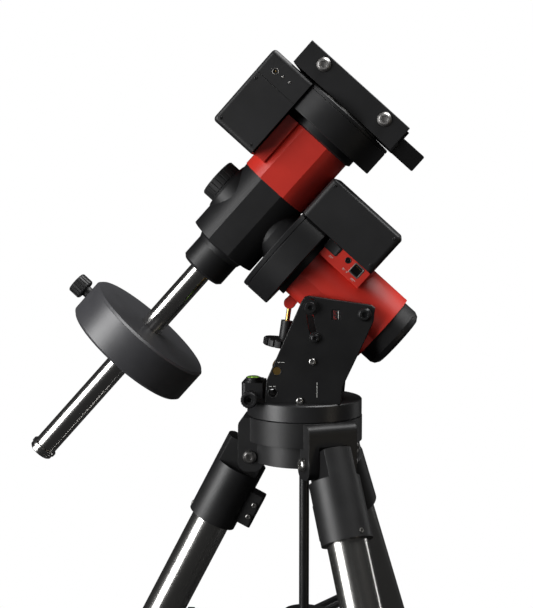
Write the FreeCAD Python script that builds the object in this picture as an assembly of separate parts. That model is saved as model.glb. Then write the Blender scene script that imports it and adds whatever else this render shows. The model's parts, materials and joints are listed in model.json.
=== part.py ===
"""Motorised German equatorial telescope mount on a folding steel tripod.

Frame: millimetres, +Z up, origin on the ground under the azimuth axis.
The polar axis rises toward -X, and the front of the mount faces -Y.
"""
import FreeCAD
import Part
import math
import os

Vector = FreeCAD.Vector

# ---- driving dimensions -------------------------------------------------
latitude = 42.0            # tilt of the polar axis above the ground, degrees
disc_top = 830.0           # top face of the azimuth disc above the ground
disc_radius = 73.5
disc_height = 22.0
axle_x = 78.0              # altitude axle, measured from the azimuth axis
axle_height = 112.0        # altitude axle above the azimuth disc
axle_along = 190.0         # altitude axle from the crossing of the two axes, down the polar axis
axle_above = 2.0           # altitude axle above the polar axis line

leg_angles = {"a": 180.0, "b": -60.0, "c": 60.0}
leg_tilt = 27.4            # leg from the vertical
leg_pivot_radius = 67.0
leg_pivot_drop = 73.0      # leg pivot under the azimuth disc top
leg_offset = 7.0           # leg centre line outside its pivot
upper_tube_radius = 25.4   # a 2 inch steel tube
lower_tube_radius = 22.5
tube_wall = 2.0
leg_end = 858.0            # pivot to the end of the foot, along the leg

plate_inner = 47.0         # inner face of each side plate from the middle plane
plate_outer = 57.0
lock_bolt_radius = 67.0    # altitude lock bolt from the axle
lock_bolt_angle = 173.0    # altitude lock bolt round the axle, from +X, at rest
lock_bolt_shank = 4.0

saddle_floor = 184.0       # dovetail seat above the polar axis
saddle_top = 205.0
shaft_radius = 15.0        # counterweight shaft
shaft_end = -414.0
weight_radius = 89.0
weight_top = -201.0
weight_bottom = -249.0
wheel_teeth = 144
wheel_radius = 62.0
worm_radius = 8.0
worm_gap = 0.4

spreader_height = 540.0    # leg spreader above the ground
spreader_travel = 188.0    # how far the spreader runs down its rod
rod_radius = 6.5
running_gap = 0.05         # radial gap of a turning or sliding fit

leg_pivot_height = disc_top - leg_pivot_drop
tilt = math.radians(latitude)
axes_x = axle_x - axle_along * math.cos(tilt) - axle_above * math.sin(tilt)
axes_z = disc_top + axle_height + axle_along * math.sin(tilt) - axle_above * math.cos(tilt)
nodes = {}


# ---- small helpers ------------------------------------------------------
def box(x0, x1, y0, y1, z0, z1):
    return Part.makeBox(x1 - x0, y1 - y0, z1 - z0, Vector(x0, y0, z0))


def rod_x(radius, x0, x1, y=0.0, z=0.0):
    return Part.makeCylinder(radius, x1 - x0, Vector(x0, y, z), Vector(1, 0, 0))


def rod_y(radius, y0, y1, x=0.0, z=0.0):
    return Part.makeCylinder(radius, y1 - y0, Vector(x, y0, z), Vector(0, 1, 0))


def rod_z(radius, z0, z1, x=0.0, y=0.0):
    return Part.makeCylinder(radius, z1 - z0, Vector(x, y, z0), Vector(0, 0, 1))


def cut_all(shape, tools):
    for tool in tools:
        shape = shape.cut(tool)
    return shape


def fuse_all(shape, others):
    for other in others:
        shape = shape.fuse(other)
    return shape.removeSplitter()


def turned(profile):
    """Solid of revolution about Z from (radius, height) points that start and end on the axis."""
    points = [Vector(r, 0, h) for r, h in profile]
    face = Part.Face(Part.makePolygon(points + [points[0]]))
    return face.revolve(Vector(0, 0, 0), Vector(0, 0, 1), 360)


def hex_prism(radius, z0, z1):
    """Hexagonal prism about Z, its corners at the given radius."""
    corners = [math.pi * i / 3 for i in range(7)]
    points = [Vector(radius * math.cos(a), radius * math.sin(a), z0) for a in corners]
    return Part.Face(Part.makePolygon(points)).extrude(Vector(0, 0, z1 - z0))


def socket_head(profile, hex_radius, recess):
    """Screw head turned from its profile, with a hexagonal recess in its top."""
    top = max(height for radius, height in profile)
    return turned(profile).cut(hex_prism(hex_radius, top - recess, top + 1))


def lay_along(shape, start, direction):
    """Moves a shape made along +Z so that its Z axis runs from start along direction."""
    shape = shape.copy()
    shape.Placement = FreeCAD.Placement(start, FreeCAD.Rotation(Vector(0, 0, 1), direction))
    return shape


def rounded_along(shape, axis, radius, keep=None):
    """Rounds the straight edges that run along an axis, where keep(edge middle) is true."""
    edges = []
    for edge in shape.Edges:
        if edge.Curve.TypeId != "Part::GeomLine":
            continue
        run = edge.Vertexes[1].Point - edge.Vertexes[0].Point
        if abs(abs(run.dot(axis)) - run.Length) > 1e-6:
            continue
        middle = edge.CenterOfMass
        if keep is None or keep(middle):
            edges.append(edge)
    return shape.makeFillet(radius, edges)


def grip_knob(radius, height, ribs, depth=1.6):
    """Knob about Z from 0 to height, with round grooves in its rim and soft edges."""
    edge = 1.5
    knob = turned([(0, 0), (radius - edge, 0), (radius, edge), (radius, height - edge),
                   (radius - edge, height), (0, height)])
    for i in range(ribs):
        angle = 2 * math.pi * i / ribs
        centre = Vector(radius * math.cos(angle), radius * math.sin(angle), -1)
        knob = knob.cut(Part.makeCylinder(depth, height + 2, centre))
    return knob


def ring_sector(inner, outer, height, start_deg, end_deg):
    """Flat sector of a ring about Z, from z = 0."""
    sector = Part.makeCylinder(outer, height, Vector(0, 0, 0), Vector(0, 0, 1), end_deg - start_deg)
    sector = sector.cut(Part.makeCylinder(inner, height))
    sector.rotate(Vector(0, 0, 0), Vector(0, 0, 1), start_deg)
    return sector


def spin_z(shape, angle_deg):
    shape = shape.copy()
    shape.rotate(Vector(0, 0, 0), Vector(0, 0, 1), angle_deg)
    return shape


# ---- tripod -------------------------------------------------------------
drum_radius = 74.0
drum_bottom = disc_top - 53
drum_top = disc_top - disc_height - 0.3
skirt_radius = 66.0
skirt_bottom = disc_top - 80
spigot_radius = 25.0       # spigot of the azimuth disc, in the hub
spigot_bottom = disc_top - 31
rod_boss_radius = 18.0
ear_inner = 19.3
ear_outer = 33.0
ear_reach = 82.0           # outer side of the ears from the azimuth axis
ear_bottom = disc_top - 92
hood_bottom = disc_top - 50
hood_top = drum_top - 0.7
pivot_pin_radius = 5.0
azimuth_screw_x = -64.0
azimuth_screw_z = disc_top + 5.0
azimuth_screw_radius = 3.0
azimuth_peg_hole = 4.6     # lets the crosswise screw swing a little in the fixed peg


def hub_ears(angle):
    """The two ears that hold one leg's pivot bolt, and the hood that joins them over the leg."""
    hood = box(50, ear_reach, -ear_outer, ear_outer, hood_bottom, hood_top)
    hood = rounded_along(hood, Vector(0, 1, 0), 11, lambda p: p.x > 80 and p.z > hood_top - 1)
    parts = [spin_z(hood, angle)]
    for side in (-1, 1):
        y0, y1 = sorted((side * ear_inner, side * ear_outer))
        ear = box(50, ear_reach, y0, y1, ear_bottom, hood_bottom + 1)
        ear = rounded_along(ear, Vector(0, 1, 0), 12, lambda p: p.z < ear_bottom + 1)
        parts.append(spin_z(ear, angle))
    return parts


def tripod_hub():
    skirt = rod_z(skirt_radius, skirt_bottom, drum_bottom)
    hub = fuse_all(rod_z(drum_radius, drum_bottom, drum_top), [skirt])
    hub = hub.cut(rod_z(50, skirt_bottom, disc_top - 40))
    hub = fuse_all(hub, [rod_z(rod_boss_radius, disc_top - 72, disc_top - 40)])
    hub = hub.cut(rod_z(spigot_radius, spigot_bottom, disc_top))
    hub = hub.cut(rod_z(rod_radius, disc_top - 100, spigot_bottom))
    for angle in leg_angles.values():
        slot = box(44, 120, -ear_inner, ear_inner, disc_top - 110, disc_top - 57)
        hub = fuse_all(hub.cut(spin_z(slot, angle)), hub_ears(angle))
        hole = rod_y(pivot_pin_radius, -40, 40, leg_pivot_radius, leg_pivot_height)
        hub = hub.cut(spin_z(hole, angle))
    hub = hub.cut(rod_z(48, disc_top - 110, skirt_bottom))
    peg = box(-69, -55, -5, 5, disc_top - 30, disc_top + 14)
    peg = peg.cut(rod_y(azimuth_peg_hole, -10, 10, azimuth_screw_x, azimuth_screw_z))
    return fuse_all(hub, [peg])


def leg_pivot_bolt():
    bolt = rod_y(pivot_pin_radius, -ear_outer - 2, ear_outer + 2)
    head = socket_head([(0, 0), (8.5, 0), (8.5, 2.5), (7.2, 4.6), (5.8, 5.8), (0, 5.8)], 3.9, 3.0)
    for side in (-1, 1):
        bolt = bolt.fuse(lay_along(head, Vector(0, side * ear_outer, 0), Vector(0, side, 0)))
    bolt.translate(Vector(leg_pivot_radius, 0, leg_pivot_height))
    return bolt.removeSplitter()


def place_leg(shape, angle):
    """From the leg frame (pivot at the origin, +Z up the leg, +X outward) to the tripod."""
    shape = shape.copy()
    lean = FreeCAD.Rotation(Vector(0, 1, 0), -leg_tilt)
    pivot = Vector(leg_pivot_radius, 0, leg_pivot_height)
    turn = FreeCAD.Placement(Vector(0, 0, 0), FreeCAD.Rotation(Vector(0, 0, 1), angle))
    shape.Placement = turn.multiply(FreeCAD.Placement(pivot, lean))
    return shape


sleeve_radius = 32.0
sleeve_top = 9.0
sleeve_bottom = -102.0
sleeve_screw_heights = (-58, -75)
upper_tube_top = -40.0
upper_tube_bottom = -500.0
lower_tube_top = -60.0
lower_tube_bottom = -830.0
clamp_top = -470.0
clamp_bottom = -532.0
clamp_knob_z = -516.0
clamp_knob_shank = 5.0


def leg_sleeve():
    tongue_half = 18.5
    sleeve = rod_z(sleeve_radius, sleeve_bottom, sleeve_top, leg_offset)
    above_pivot = box(-60, 21, -40, 40, -12, 40)
    notches = [box(-60, 60, *sorted((side * tongue_half, side * 40)), -25, 40) for side in (-1, 1)]
    sleeve = cut_all(sleeve, [above_pivot] + notches)
    tongue = rod_y(14, -tongue_half, tongue_half).fuse(box(0, 30, -tongue_half, tongue_half, -14, 8))
    clamp_block = rounded_along(box(-42, -14, -14, 14, -88, -44), Vector(0, 0, 1), 4, lambda p: p.x < -41)
    sleeve = fuse_all(sleeve, [tongue, clamp_block])
    sleeve = sleeve.cut(rod_z(upper_tube_radius, sleeve_bottom - 1, upper_tube_top, leg_offset))
    sleeve = sleeve.cut(box(-45, -14, -1.2, 1.2, sleeve_bottom - 1, upper_tube_top + 2))
    sleeve = sleeve.cut(rod_y(pivot_pin_radius + running_gap, -40, 40))
    screw_x = -34.0
    for screw_z in sleeve_screw_heights:
        sleeve = sleeve.cut(rod_y(4.2, -15, -10, screw_x, screw_z))
        sleeve = sleeve.cut(rod_y(2.6, -10, 15, screw_x, screw_z))
    return sleeve


def leg_tube(radius, low, high):
    tube = rod_z(radius, low, high, leg_offset)
    return tube.cut(rod_z(radius - tube_wall, low - 1, high + 1, leg_offset))


def leg_clamp():
    collar = turned([(0, clamp_bottom), (29, clamp_bottom), (31, clamp_bottom + 2), (31, clamp_top - 2),
                     (29, clamp_top), (0, clamp_top)])
    collar.translate(Vector(leg_offset, 0, 0))
    boss = rod_x(13, leg_offset + 20, leg_offset + 42, 0, clamp_knob_z)
    collar = fuse_all(collar, [boss])
    collar = collar.cut(rod_z(upper_tube_radius, upper_tube_bottom, clamp_top + 1, leg_offset))
    collar = collar.cut(rod_z(lower_tube_radius + 0.4, clamp_bottom - 1, upper_tube_bottom + 1, leg_offset))
    knob_hole = rod_x(clamp_knob_shank + running_gap, leg_offset + 20, leg_offset + 43, 0, clamp_knob_z)
    return collar.cut(knob_hole)


def leg_clamp_knob():
    knob = grip_knob(17, 16, 8, 3.0)
    knob = knob.fuse(rod_z(clamp_knob_shank, -17.5, 0.5))
    return lay_along(knob, Vector(leg_offset + 42.5, 0, clamp_knob_z), Vector(1, 0, 0)).removeSplitter()


def foot_tip():
    foot = turned([(0, -leg_end), (11, -leg_end), (13, -leg_end + 2), (17, -842), (24, -836), (26, -832),
                   (26, -826), (25, -825), (25, -823), (26, -822), (26, -808), (24.5, -804), (0, -804)])
    foot.translate(Vector(leg_offset, 0, 0))
    return foot.cut(rod_z(lower_tube_radius, lower_tube_bottom, -800, leg_offset))


def make_legs():
    bolts = []
    upper_tube = leg_tube(upper_tube_radius, upper_tube_bottom, upper_tube_top)
    lower_tube = leg_tube(lower_tube_radius, lower_tube_bottom, lower_tube_top)
    for letter, angle in leg_angles.items():
        bolts.append(spin_z(leg_pivot_bolt(), angle))
        nodes["leg_sleeve_" + letter] = place_leg(leg_sleeve(), angle)
        nodes["upper_leg_tube_" + letter] = place_leg(upper_tube, angle)
        nodes["leg_clamp_" + letter] = place_leg(leg_clamp(), angle)
        nodes["leg_clamp_knob_" + letter] = place_leg(leg_clamp_knob(), angle)
        nodes["lower_leg_tube_" + letter] = place_leg(lower_tube, angle)
        foot = place_leg(foot_tip(), angle)
        nodes["foot_tip_" + letter] = foot.cut(box(-600, 600, -600, 600, -60, 0))
    nodes["leg_pivot_bolts"] = Part.makeCompound(bolts)


def centre_rod():
    stop_top = spreader_height - spreader_travel - 34
    rod = rod_z(rod_radius, stop_top - 6, disc_top - 31.2)
    stop = rod_z(11, stop_top - 10, stop_top)
    return rod.fuse(stop).removeSplitter()


def spreader_reach():
    """Distance from the rod to the inner side of a leg at the spreader."""
    lean = math.radians(leg_tilt)
    drop = leg_pivot_height - spreader_height
    axis = leg_pivot_radius + drop * math.tan(lean) + leg_offset / math.cos(lean)
    return axis - upper_tube_radius / math.cos(lean)


def spreader_plate():
    thickness = 6.0
    top = spreader_height + thickness / 2
    low = spreader_height - thickness / 2
    reach = spreader_reach() - 0.5
    plate = rod_z(26, low, top + 6)
    for angle in leg_angles.values():
        lean = math.tan(math.radians(leg_tilt))
        arm = box(10, reach - 8, -11, 11, low, top)
        tip = box(reach - 12, reach - 3, -16, 16, low - 3, top)
        window = box(44, reach - 24, -5, 5, low - 1, top + 1)
        plate = plate.fuse(spin_z(arm.fuse(tip).cut(window), angle))
    plate = plate.removeSplitter()
    return plate.cut(rod_z(rod_radius + running_gap, low - 1, top + 7))


def spreader_knob():
    knob = grip_knob(19, 15, 6, 3.5)
    knob = knob.fuse(rod_z(11, 14, 21)).removeSplitter()
    knob = knob.cut(rod_z(rod_radius + running_gap, -1, 22))
    knob.translate(Vector(0, 0, spreader_height - 3.3 - 21))
    return knob


# ---- azimuth base -------------------------------------------------------
def azimuth_disc():
    disc = turned([(0, -disc_height), (disc_radius - 1, -disc_height), (disc_radius, -disc_height + 1),
                   (disc_radius, -1.5), (disc_radius - 1.5, 0), (0, 0)])
    disc = disc.fuse(rod_z(25 - running_gap, -30.5, -disc_height + 1))
    slot = ring_sector(53.5, 70.5, disc_height + 2, 164, 196)
    slot.translate(Vector(0, 0, -disc_height - 1))
    disc = disc.removeSplitter().cut(slot)
    disc.translate(Vector(0, 0, disc_top))
    return disc


def azimuth_block():
    block = box(-79, -51.5, -24, 24, disc_top, disc_top + 20)
    block = rounded_along(block, Vector(0, 0, 1), 6, lambda p: p.x < -78)
    pad = rod_z(12, disc_top + 19, disc_top + 22, -65, -10)
    block = fuse_all(block, [pad])
    block = block.cut(box(-71, -53, -17, 17, disc_top - 1, disc_top + 16))
    return block.cut(rod_y(azimuth_screw_radius + running_gap, -30, 30, azimuth_screw_x, azimuth_screw_z))


def bubble_level():
    return turned([(0, 0), (9.5, 0), (9.5, 4.5), (8.5, 5.5), (7.8, 5.5), (7.5, 5.0), (0, 5.0)])


def azimuth_screw():
    knob_start = 52.5
    screw = rod_y(azimuth_screw_radius, -60, 60, azimuth_screw_x, azimuth_screw_z)
    for side in (-1, 1):
        knob = grip_knob(10.5, 15, 18, 0.7)
        knob = knob.fuse(rod_z(6, -6, 1)).removeSplitter()
        knob = cut_all(knob, [rod_z(6.5, 12, 16), hex_prism(3.5, 7.5, 13)])
        start = Vector(azimuth_screw_x, side * knob_start, azimuth_screw_z)
        screw = screw.fuse(lay_along(knob, start, Vector(0, side, 0)))
    return screw.removeSplitter()


base_pin_radius = 5.0
axle_radius = 6.0
lock_slot_half = 4.4
lock_slot_ends = (167.5, 204)
base_pin_x = -30.3
base_pin_z = 40.6
spare_hole_x = -35.0
spare_hole_z = 13.0


def lock_slot():
    """Curved slot about the altitude axle, as a solid along Z, with round ends."""
    start, end = lock_slot_ends
    slot = ring_sector(lock_bolt_radius - lock_slot_half, lock_bolt_radius + lock_slot_half, 20, start, end)
    for angle in (math.radians(start), math.radians(end)):
        centre_x, centre_y = lock_bolt_radius * math.cos(angle), lock_bolt_radius * math.sin(angle)
        slot = slot.fuse(rod_z(lock_slot_half, 0, 20, centre_x, centre_y))
    return slot


def side_plate(side):
    outline = [(-45, 0), (-43.5, 28), (0, 127), (3.5, 132.5), (9, 134.3), (86, 123.5), (90.5, 120),
               (89, 104), (71.5, 65), (51, 21), (49, 0)]
    y0, y1 = sorted((side * plate_inner, side * plate_outer))
    points = [Vector(x, y0, disc_top + z) for x, z in outline]
    face = Part.Face(Part.makePolygon(points + [points[0]]))
    plate = face.extrude(Vector(0, y1 - y0, 0))
    rim = [edge for edge in plate.Edges
           if abs(edge.CenterOfMass.y - side * plate_outer) < 0.01 and edge.CenterOfMass.z > disc_top + 1]
    plate = plate.makeChamfer(0.8, rim)
    axle_z = disc_top + axle_height
    plate = plate.cut(rod_y(axle_radius + running_gap, -80, 80, axle_x, axle_z))
    slot = lock_slot()
    slot.rotate(Vector(0, 0, 0), Vector(1, 0, 0), 90)
    slot.translate(Vector(axle_x, y1 + 5, axle_z))
    plate = plate.cut(slot)
    plate = plate.cut(rod_y(base_pin_radius + running_gap, -80, 80, base_pin_x, disc_top + base_pin_z))
    plate = plate.cut(rod_y(base_pin_radius + running_gap, -80, 80, spare_hole_x, disc_top + spare_hole_z))
    scale = box(37.5, 48, *sorted((side * (plate_outer - 1.2), side * (plate_outer + 1))), disc_top + 104.5,
                disc_top + 117.5)
    plate = plate.cut(rounded_along(scale, Vector(0, 1, 0), 1.5))
    foot_width, foot_height = 9.0, 9.0
    foot_inner = side * (plate_inner - foot_width)
    foot = box(-40, 44, *sorted((foot_inner, side * plate_inner)), disc_top, disc_top + foot_height)
    plate = fuse_all(plate, [foot])
    # the foot's corners follow the rim of the disc
    rim_low, rim_high = disc_top - 1, disc_top + 10
    beyond_rim = rod_z(400, rim_low, rim_high).cut(rod_z(disc_radius - 1.5, rim_low, rim_high))
    foot_zone = box(-60, 60, *sorted((side * (plate_inner - 10), side * (plate_inner - 0.01))), disc_top - 1,
                    disc_top + 10)
    return plate.cut(beyond_rim.common(foot_zone))


upper_pin_along = 112.0
upper_pin_below = -56.0
upper_pin_x = axes_x + upper_pin_along * math.cos(tilt) + upper_pin_below * math.sin(tilt)
upper_pin_z = axes_z - upper_pin_along * math.sin(tilt) + upper_pin_below * math.cos(tilt)
jack_start = Vector(base_pin_x, 0, disc_top + base_pin_z)
jack_run = Vector(upper_pin_x, 0, upper_pin_z) - jack_start
jack_length = jack_run.Length
jack_knob_low = 24.0
jack_tube_top = 58.0
jack_screw_low = 42.0
jack_screw_radius = 3.0


def altitude_pin():
    pin = rod_y(base_pin_radius, -plate_outer + 0.5, plate_outer - 0.5)
    block = rod_y(10, -12, 12)
    stem = rod_z(4, 0, jack_knob_low - 0.4)
    pin = pin.fuse(block)
    pin.translate(jack_start)
    return pin.fuse(lay_along(stem, jack_start, jack_run)).removeSplitter()


def altitude_knob():
    knob = grip_knob(27, 10, 16, 2.2)
    knob.translate(Vector(0, 0, jack_knob_low))
    tube = rod_z(8, jack_knob_low + 9, jack_tube_top)
    knob = knob.fuse(tube).removeSplitter().cut(rod_z(jack_screw_radius + running_gap, 0, 100))
    return lay_along(knob, jack_start, jack_run)


def altitude_screw():
    eye = rod_y(7.6, -4.5, 4.5)
    eye.translate(Vector(0, 0, jack_length))
    screw = rod_z(jack_screw_radius, jack_screw_low, jack_length - 6.5).fuse(eye)
    hole = rod_y(5.4, -6, 6)
    hole.translate(Vector(0, 0, jack_length))
    screw = screw.cut(hole).removeSplitter()
    return lay_along(screw, jack_start, jack_run)


# ---- head: built with X down the polar axis and Z along the declination axis ----
def place_head(shape):
    shape = shape.copy()
    turn = FreeCAD.Rotation(Vector(0, 1, 0), latitude)
    shape.Placement = FreeCAD.Placement(Vector(axes_x, 0, axes_z), turn).multiply(shape.Placement)
    return shape


ring_front = 51.0
ring_back = 90.0
housing_front = 98.0
housing_back = 219.5
housing_radius = 46.5
flat_half = 44.0
panel_face = 60.0
panel_back = 161.5
panel_low = 19.5
inner_radius = 32.0
box_half = 66.0
wall = 3.0
pad_top = 43.5
polar_shaft_radius = 25.0
sight_radius = 14.0         # clear bore for sighting along the polar axis
bushes = ((100, 116), (196, 212))
lock_bolt_along = axle_along + lock_bolt_radius * math.cos(math.radians(lock_bolt_angle + latitude))
lock_bolt_above = axle_above + lock_bolt_radius * math.sin(math.radians(lock_bolt_angle + latitude))


def gear_wheel(low, high, bore):
    """Wheel about Z with one shallow tooth for each worm turn."""
    depth = 1.6
    points = []
    for i in range(wheel_teeth):
        for part, radius in ((0.0, wheel_radius - depth), (0.25, wheel_radius), (0.5, wheel_radius),
                             (0.75, wheel_radius - depth)):
            angle = 2 * math.pi * (i + part) / wheel_teeth
            points.append(Vector(radius * math.cos(angle), radius * math.sin(angle), low))
    face = Part.Face(Part.makePolygon(points + [points[0]]))
    wheel = face.extrude(Vector(0, 0, high - low))
    for i in range(6):
        angle = math.pi * i / 3
        wheel = wheel.cut(rod_z(9, low - 1, high + 1, 43 * math.cos(angle), 43 * math.sin(angle)))
    return wheel.cut(rod_z(bore, low - 1, high + 1))


def worm():
    """Worm about Z, centred, with plain journals at both ends."""
    root = worm_radius - 1.6
    pitch = 2 * math.pi * wheel_radius / wheel_teeth
    profile = [(0, -30), (4, -30), (4, -18), (root, -18)]
    for i in range(-6, 6):
        low = i * pitch
        profile += [(root, low + 0.2 * pitch), (worm_radius, low + 0.4 * pitch),
                    (worm_radius, low + 0.6 * pitch), (root, low + 0.8 * pitch)]
    profile += [(root, 18), (4, 18), (4, 30), (0, 30)]
    return turned(profile)


def motor():
    """Stepper motor about Z with its round shaft and front boss."""
    body = rounded_along(box(-17, 17, -17, 17, -22, 20), Vector(0, 0, 1), 4)
    return fuse_all(body, [rod_z(11, 20, 22), rod_z(2.5, 22, 34)])


def ra_housing():
    barrel = rod_x(housing_radius, housing_front, housing_back)
    cheeks = box(housing_front, housing_back, -flat_half, flat_half, -45.5, 15)
    cheeks = rounded_along(cheeks, Vector(1, 0, 0), 14, lambda p: p.z < -40)
    panel = box(housing_front, panel_back, -panel_face, panel_face, panel_low, pad_top)
    panel = rounded_along(panel, Vector(1, 0, 0), 2, lambda p: p.z < panel_low + 1)
    hollow = box(housing_front + wall, panel_back - wall, wall - panel_face, panel_face - wall,
                 panel_low + wall, pad_top - wall)
    panel = panel.cut(hollow)
    housing = fuse_all(barrel, [cheeks, panel])
    housing = housing.cut(rod_x(inner_radius, housing_front - 1, housing_back + 1))
    for x0, x1 in bushes:
        bush = rod_x(inner_radius + 1, x0, x1).cut(rod_x(polar_shaft_radius + running_gap, x0 - 1, x1 + 1))
        housing = housing.fuse(bush)
    housing = housing.removeSplitter()
    lug_x = upper_pin_along
    lug_half = 7.0
    for side in (-1, 1):
        y0, y1 = sorted((side * 5.5, side * 11))
        lug = box(lug_x - lug_half, lug_x + lug_half, y0, y1, upper_pin_below, -40)
        lug = lug.fuse(rod_y(lug_half, y0, y1, lug_x, upper_pin_below))
        housing = housing.fuse(lug)
    housing = fuse_all(housing, [rod_y(2.4, -10, 10, lug_x, upper_pin_below)])
    for side in (-1, 1):
        y0, y1 = sorted((side * 30, side * 50))
        inside = rod_x(inner_radius + 2, housing_front - 8, housing_back + 5)
        housing = housing.cut(rod_y(axle_radius, y0, y1, axle_along, axle_above).cut(inside))
        housing = housing.cut(rod_y(lock_bolt_shank, y0, y1, lock_bolt_along, lock_bolt_above).cut(inside))
    housing = housing.cut(box(96.5, 115.5, -panel_face - 1, -panel_face + 12, 31.5, 42))
    housing = housing.cut(rod_y(4, -panel_face - 1, -panel_face + 9, 130.5, 37.5))
    return housing.cut(box(139.5, 153.5, -panel_face - 1, -panel_face + 9, 28, 42))


def ra_ring():
    ring = turned([(0, ring_front), (75.5, ring_front), (76.5, ring_front + 1), (76.5, 57), (75.6, 57.3),
                   (75.6, 58.2), (76.5, 58.5), (76.5, ring_back - 1), (75.5, ring_back), (53, ring_back),
                   (53, housing_front), (0, housing_front)])
    ring = lay_along(ring, Vector(0, 0, 0), Vector(1, 0, 0))
    ring = ring.cut(rod_x(polar_shaft_radius + 1, 50, 99))
    ring = ring.cut(rod_x(70, 58.5, 84))
    return ring.cut(box(60, 82, -36, 36, 56, 90))


def ra_motor_cover():
    cover = box(50, 162.5, -box_half, box_half, pad_top + 0.2, 101)
    cover = rounded_along(cover, Vector(0, 0, 1), 7)
    cover = rounded_along(cover, Vector(0, 1, 0), 4, lambda p: p.z > 100)
    inner = box(50 + wall, 162.5 - wall, -box_half + wall, box_half - wall, 40, 101 - wall)
    cover = cover.cut(inner)
    cover = cover.cut(rod_x(76.8, ring_front - 0.3, ring_back + 0.3))
    cover = cover.cut(rod_x(housing_radius + 0.3, housing_front, housing_back))
    return cover.cut(rod_x(53.3, ring_back, housing_front + 0.3))


def ra_shaft():
    shaft = rod_x(polar_shaft_radius, 50.5, 214)
    return shaft.cut(rod_x(sight_radius, 49, 215))


def rear_cap():
    cap = turned([(0, 5), (29, 5), (29, -4), (inner_radius - 0.4, -4), (inner_radius - 0.4, 0.3), (42.5, 0.3),
                  (42.5, 18), (40, 23.5), (35, 26.8), (0, 27.5)])
    cap = lay_along(cap, Vector(housing_back, 0, 0), Vector(1, 0, 0))
    return cap.cut(rod_y(1.6, -44, -38, housing_back + 19, 18))


def ra_sockets():
    body = box(124, 157, -51, -47.5, 24, 40)
    jack = rod_y(4, -panel_face, -51, 130.5, 37.5).cut(rod_y(2.6, -61, -53, 130.5, 37.5))
    jack = jack.fuse(rod_y(0.9, -59, -52, 130.5, 37.5))
    plug = box(139.5, 153.5, -panel_face, -51, 28, 42).cut(box(141, 152, -61, -52, 30, 40))
    return jack, plug, body


def power_switch():
    rocker = box(-8.3, 8.3, -4.5, 4.0, -5.0, 5.0)
    dish = Part.makeCylinder(30, 12, Vector(0, -33.2, -6))
    rocker = rocker.cut(dish)
    rocker.translate(Vector(106, -panel_face + 2.6, 36.75))
    return rocker


def altitude_bolts():
    axle_head = socket_head([(0, 0), (8.5, 0), (8.5, 3), (6.8, 5.4), (6, 6), (0, 6)], 4.0, 3.5)
    lock_head = socket_head([(0, 0), (9.5, 0), (9.5, 1.5), (7, 1.5), (7, 6.5), (6.5, 7), (0, 7)], 3.6, 3.5)
    bolts = []
    for side in (-1, 1):
        start = side * (plate_outer + 0.3)
        y0, y1 = sorted((side * 36, start))
        axle = rod_y(axle_radius, y0, y1, axle_along, axle_above)
        axle = axle.fuse(lay_along(axle_head, Vector(axle_along, start, axle_above), Vector(0, side, 0)))
        lock = rod_y(lock_bolt_shank, y0, y1, lock_bolt_along, lock_bolt_above)
        place = Vector(lock_bolt_along, start, lock_bolt_above)
        lock = lock.fuse(lay_along(lock_head, place, Vector(0, side, 0)))
        bolts += [axle.removeSplitter(), lock.removeSplitter()]
    return Part.makeCompound(bolts)


# ---- declination head ---------------------------------------------------
dec_ring_low = 130.0
dec_ring_high = 168.0
body_top = 39.0
body_bottom = -60.0
body_radius = 47.0
front_flat = -44.2
dec_shaft_radius = 22.0
pad_outer = -44.5
cover_seam = 133.0         # line where the cover's end panel begins


def flat_front(shape):
    """Cuts the long flat on the front of the round housing."""
    return shape.cut(box(-60, 60, -80, front_flat, body_bottom - 5, dec_ring_low + 5))


def dec_body():
    body = rod_z(body_radius, body_bottom, body_top)
    body = flat_front(body)
    collar = turned([(0, -102), (27, -102), (30.5, -98.5), (30.5, -70), (33, -64), (40, body_bottom + 2),
                     (0, body_bottom + 2)])
    neck = turned([(0, 20), (33, 20), (36, 38), (36, 50.5), (0, 50.5)])
    neck = lay_along(neck, Vector(0, 0, 0), Vector(1, 0, 0))
    snout = turned([(0, 30), (36, 30), (33, 44), (33, 47), (0, 47)])
    snout = lay_along(snout, Vector(0, 0, 0), Vector(-1, 0, 0))
    body = fuse_all(body, [collar, neck, snout])
    body = body.cut(rod_z(dec_shaft_radius + running_gap, -32, body_top + 1))
    body = body.cut(rod_z(dec_shaft_radius + 12, -12, body_top - 18).cut(box(-90, 90, -90, 90, -14, 10)))
    body = body.cut(rod_x(sight_radius, -60, 60, 0, 0))
    return body.cut(rod_z(shaft_radius, -103, -70))


def dec_housing():
    housing = rod_z(48, body_top, dec_ring_low - 10)
    housing = flat_front(housing)
    strip = box(pad_outer, -27.5, front_flat, 44, 56, dec_ring_low - 10)
    strip = rounded_along(strip, Vector(0, 0, 1), 1.5, lambda p: p.x > -30 and p.y < 0)
    housing = fuse_all(housing, [strip])
    housing = housing.cut(rod_z(38, body_top + 14, dec_ring_low - 24))
    return housing.cut(rod_z(dec_shaft_radius + running_gap, 0, 200))


def dec_ring():
    shoulder_low = dec_ring_low - 10
    ring = turned([(0, shoulder_low), (48, shoulder_low), (52, shoulder_low + 2), (52, dec_ring_low),
                   (74, dec_ring_low), (75, dec_ring_low + 1), (75, dec_ring_high - 5.5),
                   (74.2, dec_ring_high - 5.2), (74.2, dec_ring_high - 4.4), (75, dec_ring_high - 4.1),
                   (75, dec_ring_high - 1), (74, dec_ring_high), (0, dec_ring_high)])
    ring = ring.cut(rod_z(dec_shaft_radius + 1, 100, 180))
    ring = ring.cut(rod_z(69, dec_ring_low + 6, dec_ring_high - 6))
    return ring.cut(box(-90, -56, -36, 36, dec_ring_low + 8, dec_ring_high - 8))


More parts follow.
